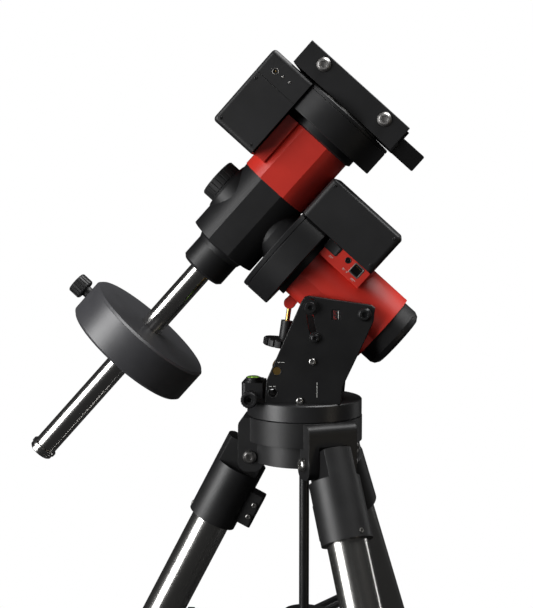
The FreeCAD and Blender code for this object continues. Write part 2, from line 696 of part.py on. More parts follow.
def dec_motor_cover():
    cover = box(-108, pad_outer - 0.2, -box_half, box_half, 54, 168)
    cover = rounded_along(cover, Vector(1, 0, 0), 7)
    cover = rounded_along(cover, Vector(0, 1, 0), 5, lambda p: p.x < -107)
    inner = box(-108 + wall, -40, -box_half + wall, box_half - wall, 54 + wall, 168 - wall)
    cover = cover.cut(inner)
    seam = box(-110, -30, -70, 70, cover_seam, cover_seam + 0.8)
    seam = seam.cut(box(-108 + 0.8, -30, -box_half + 0.8, box_half - 0.8, cover_seam - 1, cover_seam + 2))
    cover = cover.cut(seam)
    cover = cover.cut(rod_z(75.3, dec_ring_low - 0.3, dec_ring_high + 1))
    cover = cover.cut(rod_z(52.3, dec_ring_low - 11, dec_ring_low))
    cover = cover.cut(rod_z(48.3, 50, dec_ring_low))
    return cover.cut(rod_y(3.4, -box_half - 1, -box_half + 1.4, -88, 148))


def dec_shaft():
    shaft = rod_z(dec_shaft_radius, -30, 170)
    shaft = shaft.fuse(rod_z(50, dec_ring_high + 0.3, 170.5)).removeSplitter()
    shaft = shaft.cut(rod_z(15, -31, 160))
    return shaft.cut(rod_x(sight_radius, -60, 60))


saddle_left = -80.0
saddle_right = 78.0
clamp_bolts = {"a": -50.0, "b": 48.5}
clamp_bolt_z = 192.5
clamp_bolt_radius = 5.0
guide_pin_radius = 4.0
guide_pin_z = 177.5
jaw_outer = 64.0


def rail_section(side, outer, low):
    """Rail across Y with its dovetail flank leaning over the channel."""
    points = [Vector(saddle_left, side * outer, low), Vector(saddle_left, side * outer, saddle_top),
              Vector(saddle_left, side * 44, saddle_top), Vector(saddle_left, side * 50, saddle_floor),
              Vector(saddle_left, side * 50, low)]
    face = Part.Face(Part.makePolygon(points + [points[0]]))
    return face.extrude(Vector(saddle_right - saddle_left, 0, 0))


def saddle_body():
    base = box(saddle_left, saddle_right, -49, 60, 170.5, saddle_floor)
    rail = rail_section(1, 62, 170.5)
    end_block = box(saddle_right - 20, 114, 51, 62, 171, 195.5)
    end_block = rounded_along(end_block, Vector(0, 1, 0), 2, lambda p: p.x > 110)
    body = fuse_all(base, [rail, end_block])
    # relief along the foot of the fixed flank
    body = body.cut(box(saddle_left - 1, saddle_right + 1, 48.5, 50, saddle_floor - 1.5, saddle_floor + 0.1))
    for x in clamp_bolts.values():
        body = body.cut(rod_y(guide_pin_radius + running_gap, -60, -20, x, guide_pin_z))
    return body


def saddle_jaw():
    jaw = rail_section(-1, jaw_outer, 170.8)
    jaw = rounded_along(jaw, Vector(1, 0, 0), 1.5, lambda p: p.y < -60 and p.z > 200)
    for x in clamp_bolts.values():
        jaw = jaw.cut(rod_y(clamp_bolt_radius + running_gap, -jaw_outer - 1, -52, x, clamp_bolt_z))
        jaw = jaw.cut(rod_y(9.2, -jaw_outer - 1, -jaw_outer + 2, x, clamp_bolt_z))
        jaw = jaw.fuse(rod_y(guide_pin_radius, -50, -32, x, guide_pin_z))
    return jaw.removeSplitter()


def clamp_bolt(x):
    head = socket_head([(0, 0), (8.7, 0), (8.7, 2.5), (7, 4.6), (6, 5.4), (0, 5.4)], 4.5, 3.2)
    start = Vector(x, -jaw_outer + 1.7, clamp_bolt_z)
    bolt = rod_y(clamp_bolt_radius, -jaw_outer + 1.7, -53, x, clamp_bolt_z)
    return bolt.fuse(lay_along(head, start, Vector(0, -1, 0))).removeSplitter()


def polar_cap():
    cap = grip_knob(26, 17, 24, 0.8)
    cap = cap.fuse(rod_z(13.6, -9, 1)).removeSplitter()
    return lay_along(cap, Vector(-47.4, 0, 0), Vector(-1, 0, 0))


# ---- counterweight ------------------------------------------------------
lock_knob_z = -224.0
lock_knob_shank = 5.0


def counterweight_shaft():
    return turned([(0, shaft_end), (shaft_radius - 1, shaft_end), (shaft_radius, shaft_end + 1),
                   (shaft_radius, -72), (shaft_radius - 2, -70), (0, -70)])


def shaft_end_cap():
    low = shaft_end - 11
    neck = shaft_end - 5
    rim = shaft_radius + 2.5
    return turned([(0, low), (rim - 3, low), (rim - 1.5, low + 1.5), (rim - 1.5, neck - 0.6),
                   (rim - 2.2, neck), (rim - 0.6, neck), (rim, neck + 0.6), (rim, shaft_end - 1),
                   (rim - 1, shaft_end), (0, shaft_end)])


def counterweight():
    soft = 3.0
    low, high = weight_bottom, weight_top
    weight = turned([(0, low), (weight_radius - soft, low), (weight_radius, low + soft),
                     (weight_radius, high - soft), (weight_radius - soft, high), (0, high)])
    weight = weight.cut(rod_z(shaft_radius + running_gap, -300, -150))
    return weight.cut(rod_x(lock_knob_shank + running_gap, -100, -10, 0, lock_knob_z))


def counterweight_knob():
    knob = grip_knob(14, 17, 20, 0.9)
    knob.translate(Vector(0, 0, 95))
    neck = rod_z(7.5, weight_radius + 0.3, 96)
    knob = fuse_all(knob, [neck, rod_z(lock_knob_shank, shaft_radius + 1, 96)])
    return lay_along(knob, Vector(0, 0, lock_knob_z), Vector(-1, 0, 0))


# ---- assembly -----------------------------------------------------------
make_legs()
nodes["tripod_hub"] = tripod_hub()
nodes["centre_rod"] = centre_rod()
nodes["spreader_plate"] = spreader_plate()
nodes["spreader_knob"] = spreader_knob()
nodes["azimuth_disc"] = azimuth_disc()
nodes["azimuth_block"] = azimuth_block()
nodes["bubble_level"] = lay_along(bubble_level(), Vector(-65, -10, disc_top + 22), Vector(0, 0, 1))
nodes["azimuth_screw"] = azimuth_screw()
nodes["side_plate_near"] = side_plate(-1)
nodes["side_plate_far"] = side_plate(1)
nodes["altitude_pin"] = altitude_pin()
nodes["altitude_knob"] = altitude_knob()
nodes["altitude_screw"] = altitude_screw()

jack, plug, socket_body = ra_sockets()
wheel_worm_offset = wheel_radius + worm_radius + worm_gap
across = Vector(0, 1, 0)
head = {
    "ra_housing": ra_housing(),
    "ra_ring": ra_ring(),
    "ra_motor_cover": ra_motor_cover(),
    "ra_shaft": ra_shaft(),
    "ra_worm_wheel": lay_along(gear_wheel(65, 77, polar_shaft_radius), Vector(0, 0, 0), Vector(1, 0, 0)),
    "ra_worm": lay_along(worm(), Vector(71, 0, wheel_worm_offset), across),
    "ra_motor": lay_along(motor(), Vector(130, 0, 68), across),
    "rear_cap": rear_cap(),
    "ra_sockets": fuse_all(socket_body, [jack, plug]),
    "power_switch": power_switch(),
    "altitude_bolts": altitude_bolts(),
    "dec_body": dec_body(),
    "dec_housing": dec_housing(),
    "dec_ring": dec_ring(),
    "dec_motor_cover": dec_motor_cover(),
    "dec_shaft": dec_shaft(),
    "dec_worm_wheel": gear_wheel(143, 155, dec_shaft_radius),
    "dec_worm": lay_along(worm(), Vector(-wheel_worm_offset, 0, 149), across),
    "dec_motor": lay_along(motor(), Vector(-78, 0, 92), across),
    "saddle_body": saddle_body(),
    "saddle_jaw": saddle_jaw(),
    "polar_cap": polar_cap(),
    "counterweight_shaft": counterweight_shaft(),
    "shaft_end_cap": shaft_end_cap(),
    "counterweight": counterweight(),
    "counterweight_knob": counterweight_knob(),
}
for letter, x in clamp_bolts.items():
    head["clamp_bolt_" + letter] = clamp_bolt(x)
for name, shape in head.items():
    nodes[name] = place_head(shape)

os.makedirs("parts", exist_ok=True)
for name, shape in sorted(nodes.items()):
    if not shape.isValid():
        print("not valid:", name)
    solids = len(shape.Solids)
    print(name, "solids", solids, "volume cm3", round(shape.Volume / 1000, 1))
    if solids == 1:
        shape = shape.Solids[0]
    shape.exportStep("parts/" + name + ".step")
print("nodes", len(nodes))
print("axes crossing", round(axes_x, 2), round(axes_z, 2), "jack length", round(jack_length, 2))
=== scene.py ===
import json
import math

import bpy
import numpy as np
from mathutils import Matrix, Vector


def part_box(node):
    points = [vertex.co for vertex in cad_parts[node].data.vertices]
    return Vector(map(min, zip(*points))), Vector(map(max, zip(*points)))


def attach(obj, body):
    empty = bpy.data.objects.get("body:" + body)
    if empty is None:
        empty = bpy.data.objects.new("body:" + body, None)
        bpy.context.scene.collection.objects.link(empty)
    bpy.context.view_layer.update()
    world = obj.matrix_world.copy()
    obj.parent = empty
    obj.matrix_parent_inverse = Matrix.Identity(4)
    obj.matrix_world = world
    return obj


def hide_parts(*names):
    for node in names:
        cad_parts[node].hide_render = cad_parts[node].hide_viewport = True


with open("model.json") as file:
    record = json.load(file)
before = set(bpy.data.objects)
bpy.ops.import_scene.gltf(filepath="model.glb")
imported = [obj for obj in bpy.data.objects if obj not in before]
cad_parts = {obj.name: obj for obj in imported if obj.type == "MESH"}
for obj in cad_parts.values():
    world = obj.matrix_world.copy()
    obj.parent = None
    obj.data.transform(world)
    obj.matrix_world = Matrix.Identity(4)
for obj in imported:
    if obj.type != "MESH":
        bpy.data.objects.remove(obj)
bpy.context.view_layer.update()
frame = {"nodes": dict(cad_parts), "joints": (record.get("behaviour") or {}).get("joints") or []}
print("frame loaded")


def jointOf(name):
    # the joint of that name in the frame
    for joint in frame["joints"]:
        if joint["name"] == name:
            return joint
    raise KeyError(name)


def middle(node):
    # the centre of a node's box
    low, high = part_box(node)
    return (np.array(low) + np.array(high)) / 2


crossing = np.array(jointOf("ra_turn")["pos_m"])                   # where the two axes cross
headX = -np.array(jointOf("ra_turn")["axis"], float)               # down the polar axis
headX = headX / np.linalg.norm(headX)
if headX[2] > 0:
    headX = -headX
headY = np.array([0.0, 1.0, 0.0])
headZ = np.array(jointOf("dec_turn")["axis"], float)               # towards the saddle
headZ = headZ / np.linalg.norm(headZ)
if headZ[2] < 0:
    headZ = -headZ
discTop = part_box("azimuth_disc")[1][2]
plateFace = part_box("side_plate_near")[0][1]


def headPoint(x, y, z):
    # a place in millimetres from the axes crossing: down the polar axis, across, towards the saddle
    return crossing + (headX * x + headY * y + headZ * z) / 1000


def basePoint(x, y, z):
    # a place in millimetres from the azimuth axis at the top of the disc
    return np.array([x / 1000, y / 1000, discTop + z / 1000])


def addNode(tree, kind, values=None, **settings):
    # one shader node with its settings and its input values
    node = tree.nodes.new(kind)
    for key, value in settings.items():
        setattr(node, key, value)
    for key, value in (values or {}).items():
        node.inputs[key].default_value = value
    return node


def linkUp(tree, source, output, target, entry):
    # joins an output of one node to an input of another
    tree.links.new(source.outputs[output], target.inputs[entry])


def grainPlace(tree, along=None, sizes=(1, 1, 1)):
    # object coordinates turned so that Z runs along an axis, then divided by a size on each axis
    coords = addNode(tree, "ShaderNodeTexCoord")
    mapping = addNode(tree, "ShaderNodeMapping", {"Scale": sizes}, vector_type="TEXTURE")
    if along is not None:
        mapping.inputs["Rotation"].default_value = Vector(along).to_track_quat("Z", "Y").to_euler()
    linkUp(tree, coords, "Object", mapping, "Vector")
    return mapping


def finishOf(name, recipe):
    # tone drifts with broad noise, grain bump comes from fine noise, and edges take a lighter colour that is painted
    # highlight and wear
    material = bpy.data.materials.new(name)
    material.use_nodes = True
    tree = material.node_tree
    shader = tree.nodes["Principled BSDF"]
    shader.inputs["Metallic"].default_value = recipe.get("metallic", 0.0)
    shader.inputs["IOR"].default_value = 1.5
    shader.inputs["Specular IOR Level"].default_value = recipe.get("specular", 0.5)
    shader.inputs["Coat Weight"].default_value = recipe.get("coat", 0.0)
    shader.inputs["Coat Roughness"].default_value = 0.2
    # painted glow: a glow colour makes the surface emit light, though the part is no lamp
    if "glow" in recipe:
        shader.inputs["Emission Color"].default_value = (*recipe["glow"], 1)
        shader.inputs["Emission Strength"].default_value = recipe["glowStrength"]

    place = grainPlace(tree, recipe.get("along"), recipe.get("grainSizes", (0.001, 0.001, 0.001)))
    fine = addNode(tree, "ShaderNodeTexNoise", {"Scale": 1.0, "Detail": 3.0,
                                                "Roughness": 0.6})
    linkUp(tree, place, "Vector", fine, "Vector")
    broadPlace = grainPlace(tree, None, (0.045, 0.045, 0.045))
    broad = addNode(tree, "ShaderNodeTexNoise", {"Scale": 1.0, "Detail": 4.0, "Roughness": 0.55})
    linkUp(tree, broadPlace, "Vector", broad, "Vector")

    edge = addNode(tree, "ShaderNodeBevel", {"Radius": recipe.get("edgeRadius", 0.0006)}, samples=4)
    bump = addNode(tree, "ShaderNodeBump", {"Strength": recipe.get("bump", 0.25),
                                            "Distance": recipe.get("bumpDepth", 0.00006)})
    linkUp(tree, fine, "Fac", bump, "Height")
    linkUp(tree, edge, "Normal", bump, "Normal")
    linkUp(tree, bump, "Normal", shader, "Normal")

    drift = addNode(tree, "ShaderNodeMapRange", {"From Min": 0.3, "From Max": 0.7})
    linkUp(tree, broad, "Fac", drift, "Value")
    tone = addNode(tree, "ShaderNodeMix", data_type="RGBA")
    tone.inputs["A"].default_value = (*recipe["colour"], 1)
    tone.inputs["B"].default_value = (*recipe.get("tone", recipe["colour"]), 1)
    linkUp(tree, drift, "Result", tone, "Factor")

    # painted edge highlight and wear: a lighter colour where the softened normal leaves the true one, broken up by
    # the broad noise
    geometry = addNode(tree, "ShaderNodeNewGeometry")
    facing = addNode(tree, "ShaderNodeVectorMath", operation="DOT_PRODUCT")
    linkUp(tree, edge, "Normal", facing, 0)
    linkUp(tree, geometry, "True Normal", facing, 1)
    edgeWearAndHighlightMask = addNode(tree, "ShaderNodeMapRange", {"From Min": 0.97, "From Max": 0.80})
    linkUp(tree, facing, "Value", edgeWearAndHighlightMask, "Value")
    patchy = addNode(tree, "ShaderNodeMath", operation="MULTIPLY")
    linkUp(tree, edgeWearAndHighlightMask, "Result", patchy, 0)
    linkUp(tree, drift, "Result", patchy, 1)
    amount = addNode(tree, "ShaderNodeMath", {1: recipe.get("edgeWearAndHighlight", 0.3)}, operation="MULTIPLY")
    linkUp(tree, patchy, "Value", amount, 0)
    edgeWearAndHighlightMix = addNode(tree, "ShaderNodeMix", data_type="RGBA")
    edgeWearAndHighlightMix.inputs["B"].default_value = (*recipe.get("edgeWearAndHighlightColour", (0.3, 0.3, 0.3)), 1)
    linkUp(tree, amount, "Value", edgeWearAndHighlightMix, "Factor")
    linkUp(tree, tone, "Result", edgeWearAndHighlightMix, "A")
    linkUp(tree, edgeWearAndHighlightMix, "Result", shader, "Base Color")

    low, high = recipe["roughness"]
    rough = addNode(tree, "ShaderNodeMapRange", {"From Min": 0.25, "From Max": 0.75, "To Min": low, "To Max": high})
    blend = addNode(tree, "ShaderNodeMix", {"Factor": recipe.get("broadShare", 0.5)}, data_type="FLOAT")
    linkUp(tree, fine, "Fac", blend, "A")
    linkUp(tree, broad, "Fac", blend, "B")
    linkUp(tree, blend, "Result", rough, "Value")
    linkUp(tree, rough, "Result", shader, "Roughness")
    return material


# the lighter edge colour in each recipe is painted edge highlight and wear
finishes = {
    "blackCoat": {"colour": (0.0065, 0.0065, 0.007), "tone": (0.010, 0.010, 0.0105), "roughness": (0.30, 0.42),
                  "bump": 0.20, "edgeWearAndHighlight": 0.35, "edgeWearAndHighlightColour": (0.05, 0.05, 0.052)},
    "blackAnodise": {"colour": (0.007, 0.007, 0.0075), "tone": (0.010, 0.010, 0.011), "roughness": (0.40, 0.52),
                     "bump": 0.12, "edgeWearAndHighlight": 0.4, "edgeWearAndHighlightColour": (0.06, 0.06, 0.062), "specular": 0.45},
    "discAnodise": {"colour": (0.010, 0.010, 0.011), "tone": (0.014, 0.014, 0.015), "roughness": (0.34, 0.46),
                    "bump": 0.12, "edgeWearAndHighlight": 0.4, "edgeWearAndHighlightColour": (0.08, 0.08, 0.082), "specular": 0.7},
    "coverCoat": {"colour": (0.007, 0.007, 0.0075), "tone": (0.010, 0.010, 0.011), "roughness": (0.42, 0.55),
                  "bump": 0.5, "bumpDepth": 0.00008, "grainSizes": (0.0006, 0.0006, 0.0006), "edgeWearAndHighlight": 0.25,
                  "edgeWearAndHighlightColour": (0.04, 0.04, 0.042)},
    "redAnodise": {"colour": (0.66, 0.036, 0.022), "tone": (0.58, 0.028, 0.017), "roughness": (0.32, 0.42),
                   "bump": 0.15, "edgeWearAndHighlight": 0.3, "edgeWearAndHighlightColour": (0.75, 0.16, 0.10), "edgeRadius": 0.0007},
    "castBlack": {"colour": (0.008, 0.008, 0.0085), "tone": (0.012, 0.012, 0.0125), "roughness": (0.40, 0.52),
                  "bump": 0.35, "bumpDepth": 0.0001, "grainSizes": (0.0012, 0.0012, 0.0012), "edgeWearAndHighlight": 0.4,
                  "edgeWearAndHighlightColour": (0.07, 0.07, 0.07)},
    "weightCoat": {"colour": (0.044, 0.044, 0.048), "tone": (0.058, 0.058, 0.063), "roughness": (0.34, 0.44),
                   "specular": 0.75, "bump": 0.25, "bumpDepth": 0.00008, "edgeWearAndHighlight": 0.3,
                   "edgeWearAndHighlightColour": (0.10, 0.10, 0.105),
                   "edgeRadius": 0.0012},
    "boltSteel": {"colour": (0.52, 0.51, 0.49), "tone": (0.42, 0.41, 0.40), "metallic": 1.0,
                  "roughness": (0.22, 0.34), "bump": 0.2, "edgeWearAndHighlight": 0.3, "edgeWearAndHighlightColour": (0.8, 0.8, 0.78),
                  "edgeRadius": 0.0003},
    "satinSteel": {"colour": (0.46, 0.45, 0.44), "tone": (0.38, 0.37, 0.36), "metallic": 1.0,
                   "roughness": (0.36, 0.48), "bump": 0.2, "edgeWearAndHighlight": 0.3, "edgeWearAndHighlightColour": (0.7, 0.7, 0.68),
                   "edgeRadius": 0.0003},
    "darkSteel": {"colour": (0.030, 0.030, 0.031), "tone": (0.022, 0.022, 0.023), "metallic": 0.6,
                  "roughness": (0.26, 0.38), "bump": 0.15, "edgeWearAndHighlight": 0.5, "edgeWearAndHighlightColour": (0.30, 0.30, 0.30),
                  "edgeRadius": 0.0004},
    "shaftSteel": {"colour": (0.70, 0.69, 0.67), "tone": (0.63, 0.62, 0.60), "metallic": 1.0,
                   "roughness": (0.15, 0.22), "bump": 0.06, "bumpDepth": 0.00001,
                   "grainSizes": (0.004, 0.004, 0.0006), "edgeWearAndHighlight": 0.2, "edgeWearAndHighlightColour": (0.85, 0.85, 0.84),
                   "along": tuple(headZ), "broadShare": 0.2},
    "brass": {"colour": (0.60, 0.40, 0.14), "tone": (0.50, 0.32, 0.10), "metallic": 1.0, "roughness": (0.22, 0.36),
              "bump": 0.2, "edgeWearAndHighlight": 0.3, "edgeWearAndHighlightColour": (0.85, 0.66, 0.30), "edgeRadius": 0.0003},
    "blackPlastic": {"colour": (0.010, 0.010, 0.0105), "tone": (0.014, 0.014, 0.0145), "roughness": (0.38, 0.52),
                     "bump": 0.5, "bumpDepth": 0.00006, "grainSizes": (0.0005, 0.0005, 0.0005), "edgeWearAndHighlight": 0.25,
                     "edgeWearAndHighlightColour": (0.05, 0.05, 0.05), "edgeRadius": 0.0004},
    "rubber": {"colour": (0.016, 0.016, 0.016), "tone": (0.024, 0.023, 0.022), "roughness": (0.62, 0.80),
               "bump": 0.6, "bumpDepth": 0.0001, "grainSizes": (0.0009, 0.0009, 0.0009), "edgeWearAndHighlight": 0.35,
               "edgeWearAndHighlightColour": (0.06, 0.058, 0.055)},
    "scaleDark": {"colour": (0.010, 0.010, 0.011), "tone": (0.014, 0.014, 0.015), "roughness": (0.30, 0.40),
                  "bump": 0.1, "edgeRadius": 0.0002},
    "markWhite": {"colour": (0.66, 0.66, 0.63), "tone": (0.52, 0.52, 0.50), "roughness": (0.45, 0.60), "bump": 0.2,
                  "edgeRadius": 0.0001},
    "markRed": {"colour": (0.50, 0.030, 0.022), "tone": (0.40, 0.020, 0.016), "roughness": (0.45, 0.60), "bump": 0.2,
                "edgeRadius": 0.0001},
    "markBlack": {"colour": (0.004, 0.004, 0.004), "tone": (0.008, 0.008, 0.008), "roughness": (0.4, 0.5),
                  "bump": 0.1, "edgeRadius": 0.0001},
    # the level fluid's glow is painted light; the fluid is no lamp
    "levelFluid": {"colour": (0.42, 0.68, 0.10), "tone": (0.50, 0.76, 0.14), "roughness": (0.12, 0.20), "bump": 0.02,
                   "coat": 0.6, "edgeRadius": 0.0002, "glow": (0.36, 0.66, 0.12), "glowStrength": 0.28},
    "socketSilver": {"colour": (0.34, 0.33, 0.31), "tone": (0.28, 0.27, 0.26), "metallic": 0.9,
                     "roughness": (0.28, 0.40), "bump": 0.2, "edgeRadius": 0.0002},
    "motorCan": {"colour": (0.10, 0.10, 0.105), "tone": (0.13, 0.13, 0.135), "metallic": 0.8,
                 "roughness": (0.35, 0.5), "bump": 0.2, "edgeWearAndHighlight": 0.3, "edgeWearAndHighlightColour": (0.4, 0.4, 0.4)},
}
tubeRecipe = {"colour": (0.68, 0.67, 0.65), "tone": (0.60, 0.59, 0.57), "metallic": 1.0, "roughness": (0.17, 0.25),
              "bump": 0.08, "bumpDepth": 0.00001, "grainSizes": (0.0035, 0.0035, 0.0005), "edgeWearAndHighlight": 0.2,
              "edgeWearAndHighlightColour": (0.85, 0.85, 0.84), "broadShare": 0.25}

made = {name: finishOf(name, recipe) for name, recipe in finishes.items()}


def glassOf(name, colour, roughness):
    # clear glass or plastic with a faint scratch pattern in its roughness
    material = bpy.data.materials.new(name)
    material.use_nodes = True
    tree = material.node_tree
    shader = tree.nodes["Principled BSDF"]
    shader.inputs["Base Color"].default_value = (*colour, 1)
    shader.inputs["Transmission Weight"].default_value = 1.0
    shader.inputs["IOR"].default_value = 1.45
    place = grainPlace(tree, None, (0.002, 0.002, 0.002))
    noise = addNode(tree, "ShaderNodeTexNoise", {"Scale": 1.0, "Detail": 3.0})
    rough = addNode(tree, "ShaderNodeMapRange", {"From Min": 0.4, "From Max": 0.7, "To Min": roughness[0],
                                                 "To Max": roughness[1]})
    linkUp(tree, place, "Vector", noise, "Vector")
    linkUp(tree, noise, "Fac", rough, "Value")
    linkUp(tree, rough, "Result", shader, "Roughness")
    return material


made["clearGlass"] = glassOf("clearGlass", (0.94, 1.0, 0.90), (0.01, 0.05))
made["bubbleGlass"] = glassOf("bubbleGlass", (0.97, 1.0, 0.88), (0.02, 0.06))


def legAxis(letter):
    # from the foot to the sleeve, so that the tube's fine lines run round it
    run = middle("leg_sleeve_" + letter) - middle("foot_tip_" + letter)
    return tuple(run / np.linalg.norm(run))


for letter in "abc":
    made["legSteel_" + letter] = finishOf("legSteel_" + letter, {**tubeRecipe, "along": legAxis(letter)})
print("finishes made:", len(made))

nodeFinish = {
    "tripod_hub": "castBlack", "leg_pivot_bolts": "boltSteel", "centre_rod": "blackCoat",
    "spreader_plate": "castBlack", "spreader_knob": "blackPlastic",
    "azimuth_disc": "discAnodise", "azimuth_block": "blackAnodise", "bubble_level": "blackPlastic",
    "side_plate_near": "blackCoat", "side_plate_far": "blackCoat", "altitude_pin": "brass",
    "azimuth_screw": "blackAnodise", "altitude_knob": "blackAnodise", "altitude_screw": "brass",
    "ra_housing": "redAnodise", "ra_ring": "blackAnodise", "ra_motor_cover": "coverCoat", "ra_motor": "motorCan",
    "ra_sockets": "blackPlastic", "altitude_bolts": "darkSteel", "power_switch": "blackPlastic",
    "ra_worm": "boltSteel", "rear_cap": "blackAnodise", "ra_shaft": "boltSteel", "ra_worm_wheel": "brass",
    "dec_body": "blackAnodise", "dec_housing": "redAnodise", "dec_ring": "blackAnodise",
    "dec_motor_cover": "coverCoat", "dec_motor": "motorCan", "counterweight_shaft": "shaftSteel",
    "shaft_end_cap": "shaftSteel", "polar_cap": "blackPlastic", "dec_worm": "boltSteel", "dec_shaft": "boltSteel",
    "dec_worm_wheel": "brass", "saddle_body": "blackAnodise", "saddle_jaw": "blackAnodise",
    "clamp_bolt_a": "satinSteel", "clamp_bolt_b": "satinSteel", "counterweight": "weightCoat",
    "counterweight_knob": "blackPlastic",
}
for letter in "abc":
    nodeFinish["leg_sleeve_" + letter] = "castBlack"
    nodeFinish["upper_leg_tube_" + letter] = "legSteel_" + letter
    nodeFinish["lower_leg_tube_" + letter] = "legSteel_" + letter
    nodeFinish["leg_clamp_" + letter] = "castBlack"
    nodeFinish["leg_clamp_knob_" + letter] = "blackPlastic"
    nodeFinish["foot_tip_" + letter] = "rubber"
for node, piece in frame["nodes"].items():
    material = made[nodeFinish[node]]
    if not piece.material_slots:
        piece.data.materials.append(material)
    for holder in piece.material_slots:
        holder.material = material
print("finishes on", len(frame["nodes"]), "nodes")


def gridFaces(rows, columns):
    # quads between neighbouring rows of a closed ring of columns, facing outwards when the rows climb
    row = np.arange(rows - 1)[:, None] * columns
    here = np.arange(columns)[None, :]
    beyond = (here + 1) % columns
    quads = np.stack([row + here, row + beyond, row + columns + beyond, row + columns + here], axis=-1)
    return quads.reshape(-1, 4).tolist()


def seamFaces(rows, columns):
    # quads from the last row back to the first, which close a grid the second way
    last = (rows - 1) * columns
    here = np.arange(columns)
    beyond = (here + 1) % columns
    return np.stack([last + here, last + beyond, beyond, here], axis=-1).tolist()


def basisAlong(direction):
    # three columns of a right-handed turn whose Z is the direction
    turn = Vector([float(value) for value in direction]).to_track_quat("Z", "Y").to_matrix()
    return np.array(turn)


def addPiece(name, points, faces, finish, body, slot, smoothAngle=0.6):
    # a mesh from an array of points and a list of faces, smooth up to an angle, on its own body
    mesh = bpy.data.meshes.new(name)
    mesh.from_pydata(points.tolist(), [], faces)
    mesh.update()
    mesh.shade_smooth()
    mesh.set_sharp_from_angle(angle=smoothAngle)
    piece = bpy.data.objects.new(name, mesh)
    bpy.context.scene.collection.objects.link(piece)
    mesh.materials.append(made[finish])
    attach(piece, body)
    return piece


def ringsPiece(name, rings, lowPole, highPole, **look):
    # rings of points from a low pole to a high pole, closed with a fan at each end
    rows, columns = rings.shape[:2]
    points = np.concatenate([rings.reshape(-1, 3), [lowPole, highPole]])
    here = np.arange(columns)
    beyond = (here + 1) % columns
    low = np.stack([np.full(columns, rows * columns), beyond, here], axis=-1)
    last = (rows - 1) * columns
    high = np.stack([np.full(columns, rows * columns + 1), last + here, last + beyond], axis=-1)
    return addPiece(name, points, gridFaces(rows, columns) + low.tolist() + high.tolist(), **look)


def turnedPiece(name, profile, start, direction, hexRows=(), columns=48, **look):
    # a profile of radius and height in millimetres carried round an axis; hexRows follow a hexagon instead
    profile = np.array(profile, float) / 1000
    angle = np.linspace(0, 2 * np.pi, columns, endpoint=False)
    radius, height = profile[1:-1, 0], profile[1:-1, 1]
    outline = np.ones((len(radius), columns))
    outline[list(hexRows)] = np.cos(np.pi / 6) / np.cos(angle % (np.pi / 3) - np.pi / 6)
    reach = radius[:, None] * outline
    rings = np.stack([reach * np.cos(angle), reach * np.sin(angle), np.repeat(height[:, None], columns, 1)], -1)
    basis = basisAlong(direction)
    start = np.array(start)
    rings = rings @ basis.T + start
    low = basis @ np.array([0, 0, profile[0, 1]]) + start
    high = basis @ np.array([0, 0, profile[-1, 1]]) + start
    return ringsPiece(name, rings, low, high, **look)


def signedPower(value, power):
    # the size raised to a power, with the sign kept
    return np.sign(value) * np.abs(value) ** power


def softBlock(name, centre, half, axes, softness=0.25, rows=14, columns=32, **look):
    # a rounded block: x, y and z follow cosines and sines of two angles, each raised to a small power
    up = np.linspace(-np.pi / 2, np.pi / 2, rows + 2)[1:-1]
    around = np.linspace(0, 2 * np.pi, columns, endpoint=False)
    flat = signedPower(np.cos(up), softness)[:, None]
    rings = np.stack([half[0] * flat * signedPower(np.cos(around), softness),
                      half[1] * flat * signedPower(np.sin(around), softness),
                      half[2] * np.repeat(signedPower(np.sin(up), softness)[:, None], columns, 1)], -1) / 1000
    basis = np.array(axes, float).T
    centre = np.array(centre)
    pole = basis @ np.array([0, 0, half[2] / 1000])
    return ringsPiece(name, rings @ basis.T + centre, centre - pole, centre + pole, **look)


def hoopPiece(name, centre, direction, radius, section, columns=64, rows=12, **look):
    # a ring whose section is a small ellipse (across, along) carried round a circle
    around = np.linspace(0, 2 * np.pi, columns, endpoint=False)
    turn = np.linspace(0, 2 * np.pi, rows, endpoint=False)
    reach = (radius + section[0] * np.cos(turn))[:, None] / 1000
    height = np.repeat((section[1] * np.sin(turn))[:, None], columns, 1) / 1000
    rings = np.stack([reach * np.cos(around), reach * np.sin(around), height], -1)
    points = rings.reshape(-1, 3) @ basisAlong(direction).T + np.array(centre)
    return addPiece(name, points, gridFaces(rows, columns) + seamFaces(rows, columns), **look)


def socketScrew(name, place, direction, radius, height, finish, body, slot="bolt_steel"):
    # a button head with a hexagonal recess: the last two rings follow the hexagon
    key = radius * 0.46
    profile = [(0, -0.3), (radius, -0.3), (radius, height * 0.45), (radius * 0.86, height * 0.82),
               (radius * 0.66, height), (key * 1.08, height), (key, height * 0.97), (key * 0.98, height * 0.35),
               (0, height * 0.30)]
    return turnedPiece(name, profile, place, direction, hexRows=(5, 6), finish=finish, body=body, slot=slot)


sidePlate = {"screws": ((13.9, 52.7), (-1.7, 3.6)), "screwRadius": 4.6, "screwHeight": 3.0,
             "scaleMiddle": (42.75, 111.0), "scaleHalf": (5.0, 6.2), "tickCount": 7, "tickGap": 1.6,
             "indexLine": (19.7, 17.7), "indexHalf": 9.5,
             "tags": ((-27.5, 51.3), (-22.5, 51.3), (-38.2, 21.3), (-33.2, 21.3)),
             "stopScrew": (17.3, 82.0), "stopRadius": 7.4,
             "pinPlaces": ((-30.3, 40.6), (-35.0, 13.0)), "pinRing": 5.9}


